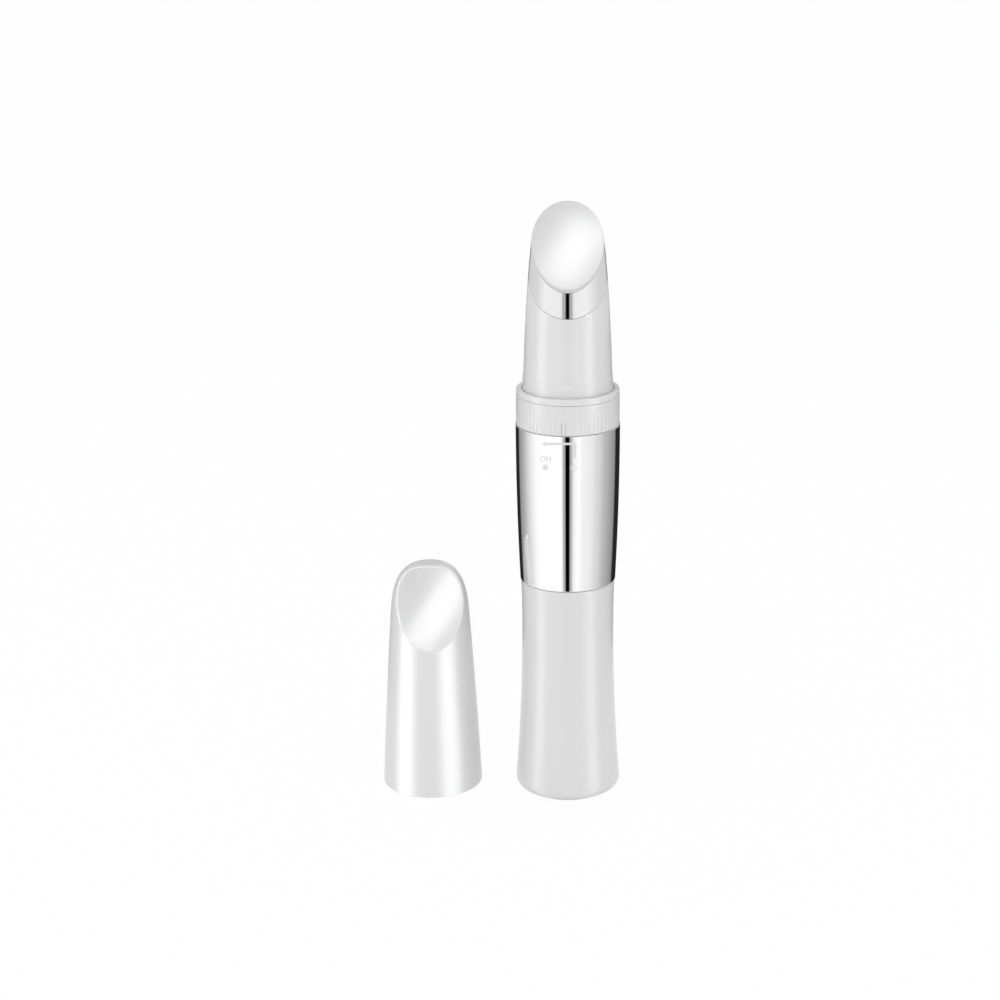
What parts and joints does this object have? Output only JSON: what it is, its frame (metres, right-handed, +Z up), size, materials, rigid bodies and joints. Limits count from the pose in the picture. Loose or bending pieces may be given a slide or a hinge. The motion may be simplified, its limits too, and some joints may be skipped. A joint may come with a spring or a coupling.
{
  "type": "heated eye massager wand",
  "caption": "Slim upright wand with an oblique warm massage face, a fluted rotary switch, a chrome barrel, a pull-off waisted handle and a separate cap.",
  "frame": {"origin": "centre of the foot's underside, on the surface the wand stands on, on the wand's own axis", "axes": "+Z up the wand's axis, -Y the front that the massage face looks to, -X the side where the cap stands"},
  "size_m": [0.0567, 0.0271, 0.1401],
  "materials": {
    "white_shell": "white moulded plastic with a satin pearl sheen",
    "cap_white": "high-gloss white moulded plastic",
    "ring_white": "white moulded plastic, fine upright flutes",
    "rim_white": "smooth glossy white plastic",
    "foot_grey": "matt light grey plastic",
    "chrome_sleeve": "mirror chrome plate",
    "chrome_head": "mirror chrome plate on a thick-walled moulding",
    "warm_face": "satin pearl-white glazed plate",
    "core_plastic": "fine matt moulding",
    "holder_plastic": "matt black moulding",
    "cell_jacket": "plain sleeve with bare ends",
    "contact_metal": "nickel-washed brass strip",
    "spring_steel": "bright drawn wire",
    "motor_steel": "drawn steel",
    "weight_metal": "sintered tungsten grey",
    "screw_steel": "zinc plated",
    "rubber_black": "soft matt rubber",
    "board_green": "green solder mask",
    "chip_black": "matt epoxy",
    "wafer_tan": "phenolic board",
    "heater_amber": "polyimide film",
    "foam_grey": "closed-cell foam",
    "lead_red": "insulated lead",
    "lead_black": "insulated lead"
  },
  "bodies": {
    "handle": {"handle_shell": "white_shell", "base_foot": "foot_grey", "ground_strip": "contact_metal", "negative_spring": "spring_steel"},
    "upper_unit": {"battery_cell": "cell_jacket", "battery_holder": "holder_plastic", "positive_contact": "contact_metal", "contact_leaf": "contact_metal", "circuit_board": "board_green", "power_inductor": "rubber_black", "capacitors": "motor_steel", "control_chips": "chip_black", "barrel_sleeve": "chrome_sleeve", "body_core": "core_plastic", "body_o_ring": "rubber_black", "switch_wafer": "wafer_tan", "switch_pins": "contact_metal", "collar_rim": "rim_white", "nose_cone": "white_shell", "massage_head": "chrome_head", "warming_plate": "warm_face", "heater_film": "heater_amber", "thermistor": "chip_black", "insulator_pad": "foam_grey", "head_carrier": "core_plastic", "motor_sleeve": "rubber_black", "motor_can": "motor_steel", "neck_screws": "screw_steel", "motor_leads": "lead_red", "heater_leads": "lead_black"},
    "switch_ring_body": {"switch_ring": "ring_white", "switch_wiper": "contact_metal"},
    "rotor": {"motor_shaft": "screw_steel", "eccentric_weight": "weight_metal"},
    "cap": {"cap_shell": "cap_white"}
  },
  "joints": [
    {"name": "handle_pull", "type": "slide", "parent": "handle", "child": "upper_unit", "axis": [0, 0, 1], "range_m": [0, 0.056]},
    {"name": "switch_turn", "type": "hinge", "parent": "upper_unit", "child": "switch_ring_body", "pos_m": [0, 0, 0.0935], "axis": [0, 0, 1], "range_deg": [-20.4, 12.2]},
    {"name": "motor_spin", "type": "hinge", "parent": "upper_unit", "child": "rotor", "pos_m": [0, 0, 0.11], "axis": [0, 0, 1], "continuous": true},
    {"name": "cap_lift", "type": "slide", "parent": "handle", "child": "cap", "axis": [0, 0, 1], "range_m": [0, 0.07]}
  ]
}
